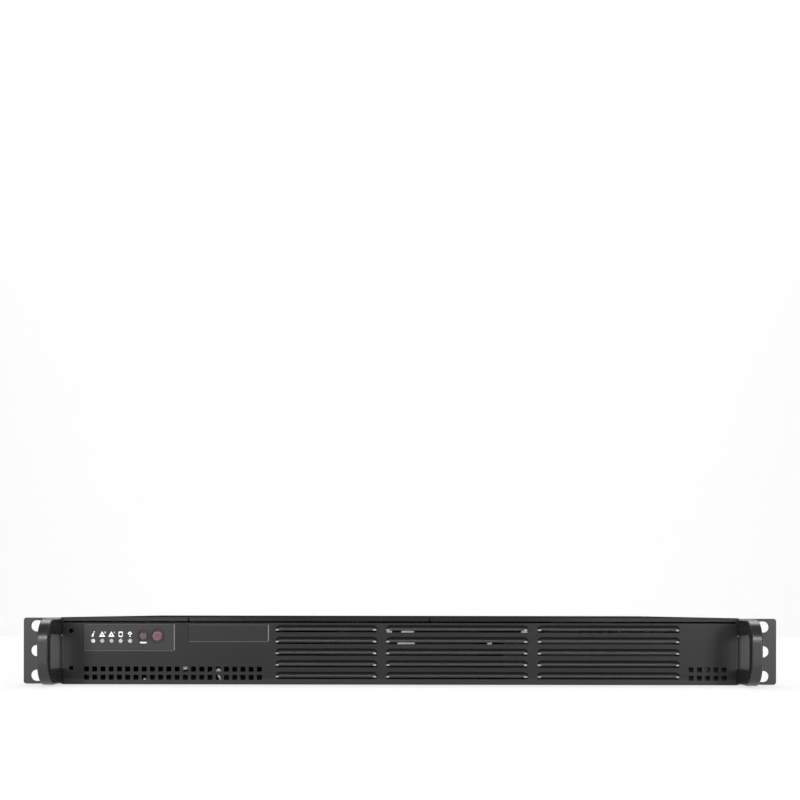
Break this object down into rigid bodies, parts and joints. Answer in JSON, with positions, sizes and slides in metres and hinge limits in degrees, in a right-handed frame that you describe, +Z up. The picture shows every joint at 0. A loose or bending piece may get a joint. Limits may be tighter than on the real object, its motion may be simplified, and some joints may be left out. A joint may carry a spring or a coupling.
{
  "type": "1u rack server",
  "caption": "Short-depth 1U rack server: louvred black front with handles, lift-off cover, board, blower, drive and power supply inside.",
  "frame": {"origin": "centre of the four outer rack slots, on the back face of the ears", "axes": "+X to the right seen from the front, +Y to the rear, +Z up"},
  "size_m": [0.4826, 0.3924, 0.043],
  "materials": {
    "black_paint": "satin powder coat",
    "zinc_sheet": "galvanised",
    "handle_paint": "satin paint on cast metal",
    "screw_steel": "plated",
    "screw_black": "black oxide",
    "label_plastic": "printed film",
    "button_plastic": "translucent pink",
    "reset_plastic": "translucent mauve",
    "light_pipe": "clear lens",
    "board_green": "solder mask on glass fibre",
    "black_plastic": "moulded",
    "white_plastic": "moulded",
    "nickel_lid": "nickel plated",
    "fin_metal": "milled",
    "shroud_plastic": "sheet",
    "drive_metal": "cast and stamped"
  },
  "bodies": {
    "chassis": {"chassis_base": "zinc_sheet", "front_panel": "black_paint", "rack_ear_left": "black_paint", "rack_ear_right": "black_paint", "handle_left": "handle_paint", "handle_right": "handle_paint", "handle_screws": "screw_steel", "ear_screws": "screw_black", "cover_screws": "screw_black", "control_overlay": "label_plastic", "blank_badge": "label_plastic", "status_lights": "light_pipe", "control_board": "board_green", "tact_switches": "black_plastic", "motherboard": "board_green", "standoffs": "screw_steel", "board_screws": "screw_steel", "cpu_socket": "black_plastic", "cpu": "nickel_lid", "cpu_heatsink": "fin_metal", "heatsink_screws": "screw_steel", "memory_sockets": "black_plastic", "memory_modules": "board_green", "chipset_heatsink": "fin_metal", "cell_holder": "black_plastic", "coin_cell": "nickel_lid", "capacitors": "black_plastic", "chokes": "black_plastic", "board_chips": "black_plastic", "io_shield": "zinc_sheet", "riser_socket": "black_plastic", "riser_card": "board_green", "riser_connector": "black_plastic", "slot_cover": "zinc_sheet", "hard_drive": "drive_metal", "drive_bracket": "zinc_sheet", "drive_screws": "screw_steel", "blower_housing": "black_plastic", "blower_screws": "screw_steel", "air_shroud": "shroud_plastic", "psu_case": "zinc_sheet", "psu_board": "board_green", "psu_fan_frame": "black_plastic", "psu_fan_guard": "screw_steel", "psu_inlet": "black_plastic", "rear_screws": "screw_steel", "board_headers": "black_plastic", "black_plugs": "black_plastic", "white_plugs": "white_plastic", "inner_cables": "black_plastic", "rear_ports": "nickel_lid"},
    "cover": {"top_cover": "black_paint"},
    "power_button": {"power_button": "button_plastic"},
    "reset_button": {"reset_button": "reset_plastic"},
    "blower_wheel": {"blower_rotor": "black_plastic"},
    "supply_fan": {"psu_fan_rotor": "black_plastic"},
    "latch_1": {"memory_latch_1": "white_plastic"},
    "latch_2": {"memory_latch_2": "white_plastic"},
    "latch_3": {"memory_latch_3": "white_plastic"},
    "latch_4": {"memory_latch_4": "white_plastic"}
  },
  "joints": [
    {"name": "cover_lift", "type": "slide", "parent": "chassis", "child": "cover", "axis": [0, 0, 1], "range_m": [0, 0.07]},
    {"name": "power_press", "type": "slide", "parent": "chassis", "child": "power_button", "axis": [0, 1, 0], "range_m": [0, 0.0012], "stiffness_N_per_m": 600},
    {"name": "reset_press", "type": "slide", "parent": "chassis", "child": "reset_button", "axis": [0, 1, 0], "range_m": [0, 0.001], "stiffness_N_per_m": 600},
    {"name": "blower_spin", "type": "hinge", "parent": "chassis", "child": "blower_wheel", "pos_m": [0.005, 0.0606, -0.004], "axis": [0, 0, 1], "continuous": true},
    {"name": "supply_fan_spin", "type": "hinge", "parent": "chassis", "child": "supply_fan", "pos_m": [0.183, 0.342, -0.0005], "axis": [0, 1, 0], "continuous": true},
    {"name": "latch_1_swing", "type": "hinge", "parent": "chassis", "child": "latch_1", "pos_m": [0.062, 0.1934, -0.0109], "axis": [1, 0, 0], "range_deg": [0, 30]},
    {"name": "latch_2_swing", "type": "hinge", "parent": "chassis", "child": "latch_2", "pos_m": [0.0714, 0.1934, -0.0109], "axis": [1, 0, 0], "range_deg": [0, 30]},
    {"name": "latch_3_swing", "type": "hinge", "parent": "chassis", "child": "latch_3", "pos_m": [0.0808, 0.1934, -0.0109], "axis": [1, 0, 0], "range_deg": [0, 30]},
    {"name": "latch_4_swing", "type": "hinge", "parent": "chassis", "child": "latch_4", "pos_m": [0.0902, 0.1934, -0.0109], "axis": [1, 0, 0], "range_deg": [0, 30]}
  ]
}
